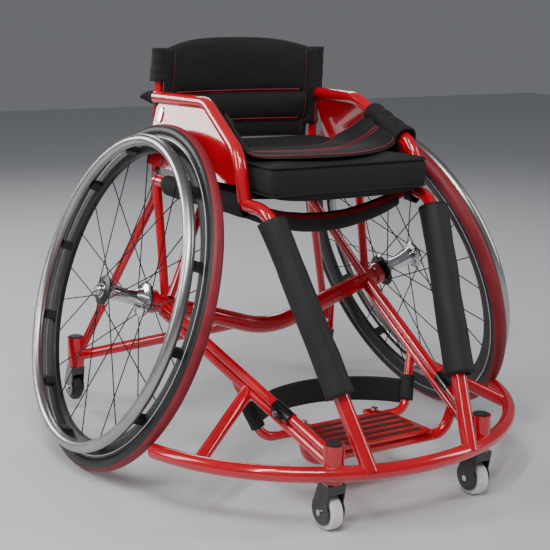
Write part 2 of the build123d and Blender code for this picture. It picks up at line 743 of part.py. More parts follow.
guard_front = Vector(*guard_path[1])
guard_low = Vector(*guard_path[2])
sleeve_high = guard_front + (guard_low - guard_front) * 0.36
sleeve_low = guard_front + (guard_low - guard_front) * 0.80
with BuildPart() as lap_belt:
    with BuildSketch(Plane(origin=(0, 0, cushion_top + soft_gap))):
        with BuildLine():
            front_edge = ThreePointArc((-148, -88, 0), (0, -150, 0), (148, -84, 0))
            back_edge = ThreePointArc((148, 34, 0), (0, -30, 0), (-148, 14, 0))
            Line(front_edge @ 1, back_edge @ 0)
            Line(back_edge @ 1, front_edge @ 0)
        make_face()
    extrude(amount=8)
    add(bar([sleeve_high, sleeve_low], rail_d + 7))
    add(guard_gap_bar, mode=Mode.SUBTRACT)
    with BuildSketch(guard_plane):
        Rectangle(900, 600)
    extrude(amount=guard_thickness / 2 + soft_gap, both=True, mode=Mode.SUBTRACT)

strap_low = Vector(158.9, -125.6, 118)
strap_axis = (Vector(*rear_foot_path[0]) - Vector(*rear_foot_path[1])).normalized()
with BuildPart() as calf_strap:
    with BuildSketch(Plane(origin=(0, 0, 96))):
        with BuildLine():
            far_edge = ThreePointArc((-150, -118, 0), (0, -52, 0), (150, -118, 0))
            near_edge = ThreePointArc((150, -122, 0), (0, -55.5, 0), (-150, -122, 0))
            Line(far_edge @ 1, near_edge @ 0)
            Line(near_edge @ 1, far_edge @ 0)
        make_face()
    extrude(amount=44)
    for side in (1, -1):
        centre = Vector(side * strap_low.X, strap_low.Y, strap_low.Z)
        run = Vector(side * strap_axis.X, strap_axis.Y, strap_axis.Z)
        add(bar([centre - run * 22, centre + run * 22], strut_d + 9))
        add(bar([centre - run * 30, centre + run * 30], strut_d + 2 * soft_gap), mode=Mode.SUBTRACT)

# ---------------------------------------------------------------- names and files
nodes = {
    "camber_tube": camber_tube, "axle_receivers": axle_receivers, "wheel_axles": wheel_axles,
    "main_tube_left": main_tube_left, "main_tube_right": main_tube_right,
    "telescope_left": telescope_left, "telescope_right": telescope_right, "tube_clamps": tube_clamps,
    "bumper_hoop": bumper_hoop, "bumper_caps": bumper_caps, "wing_struts": wing_struts, "leg_tubes": leg_tubes,
    "side_rail_left": side_rail_left, "side_rail_right": side_rail_right, "rear_struts": rear_struts,
    "seat_cross_tubes": seat_cross_tubes, "back_post_left": back_post_left, "back_post_right": back_post_right,
    "antitip_stays": antitip_stays, "caster_barrels": caster_barrels,
    "barrel_caps": barrel_caps, "guard_tubes": guard_tubes, "guard_panels": guard_panels,
    "foot_tube_front": foot_tube_front, "foot_tube_rear": foot_tube_rear,
    "footplate": footplate, "footplate_grips": footplate_grips, "frame_bolts": frame_bolts,
    "tyre_left": tyre_left, "rim_left": rim_left, "spokes_left": spokes_left, "hub_left": hub_left,
    "handrim_left": handrim_left, "handrim_tabs_left": handrim_tabs_left, "axle_button_left": axle_button_left,
    "tyre_right": tyre_right, "rim_right": rim_right, "spokes_right": spokes_right, "hub_right": hub_right,
    "handrim_right": handrim_right, "handrim_tabs_right": handrim_tabs_right,
    "axle_button_right": axle_button_right,
    "caster_fork_left": caster_fork_left, "caster_fork_right": caster_fork_right,
    "caster_tyre_left": caster_tyre_left, "caster_tyre_right": caster_tyre_right,
    "caster_hub_left": caster_hub_left, "caster_hub_right": caster_hub_right,
    "antitip_fork_left": antitip_fork_left, "antitip_fork_right": antitip_fork_right,
    "antitip_wheel_left": antitip_wheel_left, "antitip_wheel_right": antitip_wheel_right,
    "seat_cushion": seat_cushion, "seat_sling": seat_sling, "front_bar_sleeve": front_bar_sleeve,
    "back_upholstery": back_upholstery, "leg_pad_left": leg_pad_left, "leg_pad_right": leg_pad_right,
    "lap_belt": lap_belt, "calf_strap": calf_strap,
}
for label, node in nodes.items():
    node.part.label = label
    print(label, len(node.part.solids()), round(node.part.volume))
    export_step(node.part, f"parts/{label}.step")
print(len(nodes))
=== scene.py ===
"""Looks for the sports wheelchair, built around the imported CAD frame."""

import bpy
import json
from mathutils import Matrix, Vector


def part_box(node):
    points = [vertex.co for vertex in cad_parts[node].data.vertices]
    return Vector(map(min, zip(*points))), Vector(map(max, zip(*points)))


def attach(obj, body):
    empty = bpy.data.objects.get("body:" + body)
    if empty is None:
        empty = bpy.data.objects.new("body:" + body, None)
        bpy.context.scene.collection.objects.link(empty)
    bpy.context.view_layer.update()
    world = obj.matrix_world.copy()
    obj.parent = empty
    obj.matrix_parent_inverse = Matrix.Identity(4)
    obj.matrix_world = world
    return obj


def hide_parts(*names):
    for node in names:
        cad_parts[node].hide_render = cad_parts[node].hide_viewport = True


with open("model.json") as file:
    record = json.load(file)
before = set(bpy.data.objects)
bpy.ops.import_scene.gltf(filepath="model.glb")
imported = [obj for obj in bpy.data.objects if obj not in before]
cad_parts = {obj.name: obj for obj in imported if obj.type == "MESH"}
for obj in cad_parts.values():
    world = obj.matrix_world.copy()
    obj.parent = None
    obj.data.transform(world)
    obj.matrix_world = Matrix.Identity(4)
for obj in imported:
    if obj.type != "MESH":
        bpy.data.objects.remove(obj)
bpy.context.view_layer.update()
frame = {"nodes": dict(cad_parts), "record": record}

import json
import math

import bmesh
import bpy
from mathutils import Matrix, Vector, noise

NODES = frame["nodes"]


# ---------------------------------------------------------------- material helpers
def new_material(name):
    """Empty node material: the material, its tree and its shader."""
    mat = bpy.data.materials.new(name)
    mat.use_nodes = True
    tree = mat.node_tree
    return mat, tree, tree.nodes["Principled BSDF"]


def link(tree, a, b):
    tree.links.new(a, b)


def mapping(tree):
    """Position on the piece, in metres."""
    coords = tree.nodes.new("ShaderNodeTexCoord")
    place = tree.nodes.new("ShaderNodeMapping")
    link(tree, coords.outputs["Object"], place.inputs["Vector"])
    return place.outputs["Vector"]


def noise_tex(tree, vector, scale, detail=4, rough=0.5):
    tex = tree.nodes.new("ShaderNodeTexNoise")
    tex.inputs["Scale"].default_value = scale
    tex.inputs["Detail"].default_value = detail
    tex.inputs["Roughness"].default_value = rough
    link(tree, vector, tex.inputs["Vector"])
    return tex.outputs["Fac"]


def ramp(tree, value, low, high, a=0.0, b=1.0):
    """a where value is low, b where it is high, and a straight run between."""
    node = tree.nodes.new("ShaderNodeMapRange")
    node.inputs["From Min"].default_value = low
    node.inputs["From Max"].default_value = high
    node.inputs["To Min"].default_value = a
    node.inputs["To Max"].default_value = b
    link(tree, value, node.inputs["Value"])
    return node.outputs["Result"]


def mix_color(tree, fac, a, b):
    """Colour a where fac is 0 and b where it is 1."""
    node = tree.nodes.new("ShaderNodeMix")
    node.data_type = "RGBA"
    link(tree, fac, node.inputs["Factor"])
    for value, slot in ((a, "A"), (b, "B")):
        socket = [s for s in node.inputs if s.name == slot and s.type == "RGBA"][0]
        if isinstance(value, tuple):
            socket.default_value = (*value, 1)
        else:
            link(tree, value, socket)
    return [s for s in node.outputs if s.type == "RGBA"][0]


def math_node(tree, kind, a, b=None):
    """One math step on sockets or numbers."""
    node = tree.nodes.new("ShaderNodeMath")
    node.operation = kind
    for i, v in enumerate((a, b)):
        if v is None:
            continue
        if isinstance(v, (int, float)):
            node.inputs[i].default_value = v
        else:
            link(tree, v, node.inputs[i])
    return node.outputs[0]


def bump(tree, shader, height, strength, distance):
    """Fine relief on a shader."""
    node = tree.nodes.new("ShaderNodeBump")
    node.inputs["Strength"].default_value = strength
    node.inputs["Distance"].default_value = distance
    link(tree, height, node.inputs["Height"])
    link(tree, node.outputs["Normal"], shader.inputs["Normal"])


def paint(name, color, dark, roughness=0.16, coat=1.0):
    """Gloss paint: slow colour drift, fine orange peel and faint scuffs in the roughness."""
    mat, tree, shader = new_material(name)
    vec = mapping(tree)
    drift = noise_tex(tree, vec, 9, 3)
    scuffs = noise_tex(tree, vec, 60, 6, 0.7)
    link(tree, mix_color(tree, ramp(tree, drift, 0.3, 0.7), dark, color), shader.inputs["Base Color"])
    link(tree, ramp(tree, scuffs, 0.45, 0.8, roughness, roughness + 0.18), shader.inputs["Roughness"])
    shader.inputs["Coat Weight"].default_value = coat
    shader.inputs["Coat Roughness"].default_value = 0.04
    bump(tree, shader, noise_tex(tree, vec, 420, 2), 0.12, 0.0004)
    return mat


def metal(name, color, roughness, grain=0.06, relief=0.02):
    """Bare metal: slow tone drift, fine variation in the roughness."""
    mat, tree, shader = new_material(name)
    fine = noise_tex(tree, mapping(tree), 160, 3, 0.5)
    slow = noise_tex(tree, mapping(tree), 14, 3)
    shade = tuple(c * 0.78 for c in color)
    link(tree, mix_color(tree, ramp(tree, slow, 0.3, 0.75), shade, color), shader.inputs["Base Color"])
    link(tree, ramp(tree, fine, 0.3, 0.8, roughness, roughness + grain), shader.inputs["Roughness"])
    shader.inputs["Metallic"].default_value = 1.0
    bump(tree, shader, fine, relief, 0.0002)
    return mat


def wheel_place(tree):
    """Distance along and from the camber axis of the main wheel on either side, in metres."""
    coords = tree.nodes.new("ShaderNodeTexCoord")
    split = tree.nodes.new("ShaderNodeSeparateXYZ")
    link(tree, coords.outputs["Object"], split.inputs[0])
    merge = tree.nodes.new("ShaderNodeCombineXYZ")
    link(tree, math_node(tree, "ABSOLUTE", split.outputs["X"]), merge.inputs["X"])
    link(tree, split.outputs["Y"], merge.inputs["Y"])
    link(tree, split.outputs["Z"], merge.inputs["Z"])
    place = tree.nodes.new("ShaderNodeVectorMath")
    place.operation = "SUBTRACT"
    place.inputs[1].default_value = WHEEL_CENTRE
    link(tree, merge.outputs[0], place.inputs[0])
    along = tree.nodes.new("ShaderNodeVectorMath")
    along.operation = "DOT_PRODUCT"
    along.inputs[1].default_value = WHEEL_AXIS
    link(tree, place.outputs[0], along.inputs[0])
    size = tree.nodes.new("ShaderNodeVectorMath")
    size.operation = "LENGTH"
    link(tree, place.outputs[0], size.inputs[0])
    axial, reach = along.outputs["Value"], size.outputs["Value"]
    square = math_node(tree, "SUBTRACT", math_node(tree, "MULTIPLY", reach, reach),
                       math_node(tree, "MULTIPLY", axial, axial))
    return axial, math_node(tree, "SQRT", square)


def recolor(mat, mask, color, roughness=None, metallic=None):
    """Lay a second colour over a material where mask is 1."""
    tree = mat.node_tree
    shader = tree.nodes["Principled BSDF"]
    under = shader.inputs["Base Color"].links[0].from_socket
    link(tree, mix_color(tree, mask, under, color), shader.inputs["Base Color"])
    if metallic is not None:
        before = shader.inputs["Metallic"].default_value
        link(tree, ramp(tree, mask, 0, 1, before, metallic), shader.inputs["Metallic"])
    if roughness is not None:
        under = shader.inputs["Roughness"].links[0].from_socket
        keep = math_node(tree, "MULTIPLY", under, math_node(tree, "SUBTRACT", 1.0, mask))
        laid = math_node(tree, "MULTIPLY", mask, roughness)
        link(tree, math_node(tree, "ADD", keep, laid), shader.inputs["Roughness"])


def bolt_ends(mat, middle, reach):
    """Silver axle ends on a fork: everything farther than reach from its middle plane."""
    tree = mat.node_tree
    coords = tree.nodes.new("ShaderNodeTexCoord")
    split = tree.nodes.new("ShaderNodeSeparateXYZ")
    link(tree, coords.outputs["Object"], split.inputs[0])
    off = math_node(tree, "SUBTRACT", math_node(tree, "ABSOLUTE", split.outputs["X"]), middle)
    ends = math_node(tree, "GREATER_THAN", math_node(tree, "ABSOLUTE", off), reach)
    recolor(mat, ends, (0.8, 0.8, 0.82), 0.2, 1.0)


def moulded(name, color, roughness=0.45, grain=900, strength=0.25):
    """Rubber, plastic or dark cloth: slow tone drift and a fine grain."""
    mat, tree, shader = new_material(name)
    vec = mapping(tree)
    drift = noise_tex(tree, vec, 25, 4)
    light = tuple(min(1, c * 1.4 + 0.002) for c in color)
    link(tree, mix_color(tree, ramp(tree, drift, 0.35, 0.75), color, light), shader.inputs["Base Color"])
    link(tree, ramp(tree, drift, 0.3, 0.8, roughness, roughness + 0.15), shader.inputs["Roughness"])
    bump(tree, shader, noise_tex(tree, vec, grain, 2), strength, 0.0003)
    return mat


RED = (0.64, 0.0003, 0.013)
RED_DARK = (0.50, 0.0002, 0.010)
BLACK = (0.012, 0.012, 0.014)
BLACK_DARK = (0.008, 0.008, 0.009)
FABRIC = (0.006, 0.006, 0.007)
FABRIC_DARK = (0.0055, 0.0055, 0.0065)
# the left main wheel's middle and the direction of its axle, and distances from them, in metres
WHEEL_CENTRE = (0.292, 0.097, 0.289886)
WHEEL_AXIS = (0.948324, 0, 0.317305)
BEAD_RADIUS = 0.2925
TREAD_EDGE_RADIUS = 0.3025
TREAD_EDGE_SIDE = 0.0095
# radii of the light grey ring painted on the rim as its highlight line
RIM_HIGHLIGHT_RADII = (0.2785, 0.2805)
FLANGE_FACE = 0.0387
HUB_CORE_RADIUS = 0.014
# distance of the fork's middle from the chair's middle, and its half width
FRONT_FORK = (0.143, 0.0162)
REAR_FORK = (0.288, 0.0132)
mats = {
    "frame_red": paint("frame_red", RED, RED_DARK),
    "plate_red": paint("plate_red", (0.55, 0.003, 0.006), (0.42, 0.002, 0.005)),
    "guard_red": paint("guard_red", RED, RED_DARK),
    "barrel_red": paint("barrel_red", RED, RED_DARK),
    "rim_black": paint("rim_black", BLACK, BLACK_DARK, 0.4, 0.15),
    "spoke_black": metal("spoke_black", (0.03, 0.03, 0.033), 0.35),
    "fork_black": paint("fork_black", BLACK, BLACK_DARK, 0.25, 0.6),
    "clamp_black": paint("clamp_black", (0.01, 0.01, 0.011), (0.007, 0.007, 0.008), 0.2, 0.8),
    "cap_black": moulded("cap_black", (0.012, 0.012, 0.012)),
    "tab_black": moulded("tab_black", (0.012, 0.012, 0.012)),
    "hub_silver": metal("hub_silver", (0.88, 0.88, 0.90), 0.12),
    "handrim_silver": metal("handrim_silver", (0.52, 0.51, 0.50), 0.3, 0.03, 0.0),
    "bolt_silver": metal("bolt_silver", (0.82, 0.82, 0.84), 0.2),
    "axle_steel": metal("axle_steel", (0.75, 0.75, 0.77), 0.2),
    "tyre_red": moulded("tyre_red", (0.21, 0.010, 0.018), 0.5, 600, 0.2),
    "caster_tyre": moulded("caster_tyre", (0.66, 0.66, 0.64), 0.35, 500, 0.1),
    "caster_hub": moulded("caster_hub", (0.012, 0.012, 0.012), 0.18, 400, 0.05),
    "antitip_tyre": moulded("antitip_tyre", (0.015, 0.015, 0.015), 0.5),
    "grip": moulded("grip", (0.06, 0.004, 0.005), 0.7),
    "cushion_fabric": moulded("cushion_fabric", FABRIC_DARK, 0.8),
    "back_fabric": moulded("back_fabric", FABRIC, 0.8),
    "sling_fabric": moulded("sling_fabric", FABRIC, 0.8),
    "belt_fabric": moulded("belt_fabric", FABRIC_DARK, 0.75),
    "strap_fabric": moulded("strap_fabric", (0.007, 0.007, 0.008), 0.7),
    "pad_fabric": moulded("pad_fabric", FABRIC, 0.6),
}
mats["fork_black_rear"] = paint("fork_black_rear", BLACK, BLACK_DARK, 0.2, 0.8)
mats["piping_red"] = moulded("piping_red", (0.24, 0.015, 0.026), 0.6)
mats["piping_dark"] = moulded("piping_dark", (0.05, 0.008, 0.012), 0.7)
mats["strap_red"] = moulded("strap_red", (0.16, 0.01, 0.016), 0.7)
# red tread with black sidewalls: the red stops early on the outward side
tree = mats["tyre_red"].node_tree
axial, radial = wheel_place(tree)
outward = math_node(tree, "MULTIPLY", math_node(tree, "GREATER_THAN", axial, TREAD_EDGE_SIDE),
                    math_node(tree, "LESS_THAN", radial, TREAD_EDGE_RADIUS))
sidewall = math_node(tree, "MAXIMUM", math_node(tree, "LESS_THAN", radial, BEAD_RADIUS), outward)
recolor(mats["tyre_red"], sidewall, (0.012, 0.012, 0.013), 0.42)
# painted highlight: a thin light grey ring on the black rim stands for its bright reflection line
tree = mats["rim_black"].node_tree
axial, radial = wheel_place(tree)
rim_highlight_ring = math_node(tree, "MULTIPLY", math_node(tree, "GREATER_THAN", radial, RIM_HIGHLIGHT_RADII[0]),
                   math_node(tree, "LESS_THAN", radial, RIM_HIGHLIGHT_RADII[1]))
recolor(mats["rim_black"], rim_highlight_ring, (0.55, 0.55, 0.55), 0.3)
# painted dark reflection and shade: the outer faces of the chrome hub flanges are coloured black and not
# metallic
tree = mats["hub_silver"].node_tree
axial, radial = wheel_place(tree)
past_flange = math_node(tree, "GREATER_THAN", math_node(tree, "ABSOLUTE", axial), FLANGE_FACE)
flange_dark_reflection_and_shade = math_node(tree, "MULTIPLY", past_flange, math_node(tree, "GREATER_THAN", radial, HUB_CORE_RADIUS))
recolor(mats["hub_silver"], flange_dark_reflection_and_shade, (0.015, 0.015, 0.016), 0.3, 0.0)
bolt_ends(mats["fork_black"], *FRONT_FORK)
bolt_ends(mats["fork_black_rear"], *REAR_FORK)
slot_of = {s["node"]: s["material_slot"] for s in frame["record"]["subparts"]}
for name, obj in NODES.items():
    obj.data.materials.clear()
    look = "fork_black_rear" if name.startswith("antitip_fork") else slot_of[name]
    obj.data.materials.append(mats[look])

# ---------------------------------------------------------------- mesh helpers
MM = 0.001


def mesh_object(name, verts, faces, mat, body, uv):
    """New smooth piece that rides a body and wears a slot."""
    mesh = bpy.data.meshes.new(name)
    mesh.from_pydata([tuple(v) for v in verts], [], faces)
    mesh.update()
    layer = mesh.uv_layers.new(name="weave")
    for loop in mesh.loops:
        layer.data[loop.index].uv = uv[loop.vertex_index]
    mesh.materials.append(mat)
    for poly in mesh.polygons:
        poly.use_smooth = True
    obj = bpy.data.objects.new(name, mesh)
    bpy.context.scene.collection.objects.link(obj)
    fix = bmesh.new()
    fix.from_mesh(mesh)
    bmesh.ops.recalc_face_normals(fix, faces=fix.faces)
    fix.to_mesh(mesh)
    fix.free()
    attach(obj, body)
    return obj


def loft(name, rings, mat, body, loop=False):
    """Skin through closed rings of equal count. UVs run in metres along and round."""
    count = len(rings[0])
    verts = [p for ring in rings for p in ring]
    faces = []
    total = len(rings)
    for i in range(total if loop else total - 1):
        j = (i + 1) % total
        for k in range(count):
            m = (k + 1) % count
            faces.append((i * count + k, i * count + m, j * count + m, j * count + k))
    if not loop:
        # each end is closed by a strip of quads across it
        last = (total - 1) * count
        for k in range(count // 2 - 1):
            faces.append((count - 1 - k, count - 2 - k, k + 1, k))
            faces.append((last + k, last + k + 1, last + count - 2 - k, last + count - 1 - k))
    along = [0.0]
    for i in range(1, total):
        along.append(along[-1] + (rings[i][0] - rings[i - 1][0]).length)
    uv = []
    for i, ring in enumerate(rings):
        around = 0.0
        for k, p in enumerate(ring):
            if k:
                around += (p - ring[k - 1]).length
            uv.append((along[i], around))
    return mesh_object(name, verts, faces, mat, body, uv)


def smooth_path(points, per=8):
    """Catmull-Rom through the points."""
    pts = [Vector(p) for p in points]
    out = []
    for i in range(len(pts) - 1):
        p0 = pts[max(i - 1, 0)]
        p1, p2 = pts[i], pts[i + 1]
        p3 = pts[min(i + 2, len(pts) - 1)]
        for s in range(per):
            t = s / per
            out.append(
                0.5 * ((2 * p1) + (p2 - p0) * t + (2 * p0 - 5 * p1 + 4 * p2 - p3) * t * t
                       + (3 * p1 - p0 - 3 * p2 + p3) * t ** 3)
            )
    out.append(pts[-1])
    return out


def frames_along(points, up=Vector((0, 0, 1))):
    """Tangent, side and lift directions at each point."""
    out = []
    for i, p in enumerate(points):
        tangent = (points[min(i + 1, len(points) - 1)] - points[max(i - 1, 0)]).normalized()
        side = tangent.cross(up)
        if side.length < 1e-6:
            side = Vector((1, 0, 0))
        side.normalize()
        out.append((p, tangent, side, side.cross(tangent).normalized()))
    return out


def tube(name, points, radius, mat, body, sides=8, up=Vector((0, 0, 1))):
    """Round cord of piping along the points."""
    rings = []
    for p, _, side, lift in frames_along(points, up):
        rings.append([
            p + (side * math.cos(a) + lift * math.sin(a)) * radius
            for a in (2 * math.pi * k / sides for k in range(sides))
        ])
    return loft(name, rings, mat, body)


def wrinkle(p, size, depth, seed=0.0):
    """Smooth unevenness of the given size and depth at a point."""
    return noise.noise(Vector((p.x, p.y, p.z)) * (1 / size) + Vector((seed, seed * 1.7, 0))) * depth


def inflate(obj, pressure, cap, pin, voxel, frames=20):
    """Cloth pressure on a remeshed copy of obj, applied, with the movement of each point capped."""
    scene = bpy.context.scene
    remesh = obj.modifiers.new("remesh", "REMESH")
    remesh.mode = "VOXEL"
    remesh.voxel_size = voxel
    deps = bpy.context.evaluated_depsgraph_get()
    mesh = bpy.data.meshes.new_from_object(obj.evaluated_get(deps))
    obj.modifiers.clear()
    mats_before = list(obj.data.materials)
    obj.data = mesh
    mesh.materials.clear()
    for m in mats_before:
        mesh.materials.append(m)
    start = [v.co.copy() for v in mesh.vertices]
    group = obj.vertex_groups.new(name="pin")
    held = [i for i, p in enumerate(start) if pin(p)]
    group.add(held, 1.0, "REPLACE")
    cloth = obj.modifiers.new("cloth", "CLOTH")
    cloth.settings.use_pressure = True
    cloth.settings.uniform_pressure_force = pressure
    cloth.settings.effector_weights.gravity = 0
    cloth.settings.mass = 0.2
    cloth.settings.vertex_group_mass = "pin"
    cloth.point_cache.frame_start = 1
    cloth.point_cache.frame_end = frames
    for f in range(1, frames + 1):
        scene.frame_set(f)
    deps = bpy.context.evaluated_depsgraph_get()
    moved = obj.evaluated_get(deps).to_mesh()
    now = [v.co.copy() for v in moved.vertices]
    obj.evaluated_get(deps).to_mesh_clear()
    obj.modifiers.clear()
    obj.vertex_groups.clear()
    for v, a, b in zip(mesh.vertices, start, now):
        step = b - a
        if step.length > cap:
            step *= cap / step.length
        v.co = a + step
    scene.frame_set(1)
    for poly in mesh.polygons:
        poly.use_smooth = True
    smooth = obj.modifiers.new("smooth", "SMOOTH")
    smooth.factor = 0.5
    smooth.iterations = 2
    sub = obj.modifiers.new("sub", "SUBSURF")
    sub.levels = sub.render_levels = 1
    deps = bpy.context.evaluated_depsgraph_get()
    done = bpy.data.meshes.new_from_object(obj.evaluated_get(deps))
    obj.modifiers.clear()
    obj.data = done
    for poly in done.polygons:
        poly.use_smooth = True
    return obj


# ---------------------------------------------------------------- seat cushion
CUSHION_PRESSURE, CUSHION_SWELL, CUSHION_VOXEL = 3.0, 0.006, 0.007
CUSHION_HANG = 0.009
SEAM_RADIUS = 0.0016


def seat_cushion():
    """Foam cushion in a stretch cover: a block swollen by cloth pressure, with a seam round each edge."""
    lo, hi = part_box("seat_cushion")
    centre = (lo + hi) / 2
    half = (hi - lo) / 2
    bm = bmesh.new()
    bmesh.ops.create_cube(bm, size=2)
    for v in bm.verts:
        v.co = Vector((v.co.x * (half.x - 0.003), v.co.y * (half.y - 0.003), v.co.z * (half.z - 0.001)))
    bmesh.ops.bevel(bm, geom=bm.edges[:], offset=0.010, segments=3, affect="EDGES", profile=0.6)
    for v in bm.verts:
        v.co += centre
    mesh = bpy.data.meshes.new("cushion")
    bm.to_mesh(mesh)
    bm.free()
    mesh.materials.append(mats["cushion_fabric"])
    obj = bpy.data.objects.new("cushion", mesh)
    bpy.context.scene.collection.objects.link(obj)
    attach(obj, "frame")
    edge_top, edge_low = hi.z - 0.008, lo.z + 0.006

    def pin(p):
        side = max(abs(p.x) - (half.x - 0.012), abs(p.y - centre.y) - (half.y - 0.012))
        return p.z < edge_low or (p.z > edge_top and side > 0)

    inflate(obj, CUSHION_PRESSURE, CUSHION_SWELL, pin, CUSHION_VOXEL)
    # the front hangs a little between the rails
    for v in obj.data.vertices:
        past_sling = max(0.0, min(1.0, (-0.116 - v.co.y) / 0.03))
        hang = past_sling * max(0.0, 1 - (v.co.x / 0.144) ** 4)
        v.co.z -= CUSHION_HANG * hang * max(0.0, min(1.0, (centre.z + 0.01 - v.co.z) / half.z))
    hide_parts("seat_cushion")
    # sewn seam along the top and bottom edges
    seams = (("cushion_seam_top", hi.z - 0.0045, 0.004), ("cushion_seam_low", lo.z + 0.006, 0.0035))
    for name, z, inset in seams:
        r = 0.014
        pts = []
        for cx, cy, a0 in (
            (hi.x - inset - r, hi.y - inset - r, 0), (lo.x + inset + r, hi.y - inset - r, 90),
            (lo.x + inset + r, lo.y + inset + r, 180), (hi.x - inset - r, lo.y + inset + r, 270),
        ):
            for k in range(7):
                a = math.radians(a0 + 15 * k)
                pts.append(Vector((cx + r * math.cos(a), cy + r * math.sin(a), z)))
        rings = []
        n = len(pts)
        for i in range(n):
            tangent = (pts[(i + 1) % n] - pts[i - 1]).normalized()
            side = tangent.cross(Vector((0, 0, 1)))
            rings.append([
                pts[i] + (side * math.cos(a) + Vector((0, 0, math.sin(a)))) * SEAM_RADIUS
                for a in (math.pi * k / 4 for k in range(8))
            ])
        loft(name, rings, mats["cushion_fabric"], "frame", loop=True)


seat_cushion()


# ---------------------------------------------------------------- backrest
BACK_LOW, BACK_TOP = 0.532, 0.716
BACK_HALF = 0.1525
LOIN_SEAM, LOW_SEAM = 0.621, 0.5665
SLEEVE_TOP = 0.703
SLEEVE_LOW = {1: 0.622, -1: 0.645}


def post_at(z, side=1):
    """Middle of a back post at the height z."""
    t = (z - 0.432) / 0.268
    return Vector((side * (0.168 - 0.003 * t), 0.232 - 0.016 * t, z))


def back_y(x, z):
    """Middle of the backrest sheet: it bows rearward between the posts."""
    return post_at(z).y + 0.002 + 0.026 * (1 - min(1, abs(x) / 0.150) ** 2)


def bell(z, centre, half):
    """Half ellipse of height 1 over centre."""
    t = (z - centre) / half
    return math.sqrt(max(0.0, 1 - t * t))


def back_bulge(u, z):
    """How far the padding stands forward of the sheet."""
    side = max(0.0, 1 - abs(u) ** 8) ** 0.5
    out = 0.005
    if z > LOIN_SEAM:
        out += 0.011 * bell(z, 0.668, 0.048) ** 0.8
    elif z > LOW_SEAM:
        out += 0.017 * bell(z, 0.592, 0.026) ** 0.9
    else:
        out += 0.006 * bell(z, 0.553, 0.0135) ** 0.8
    return out * side + 0.002


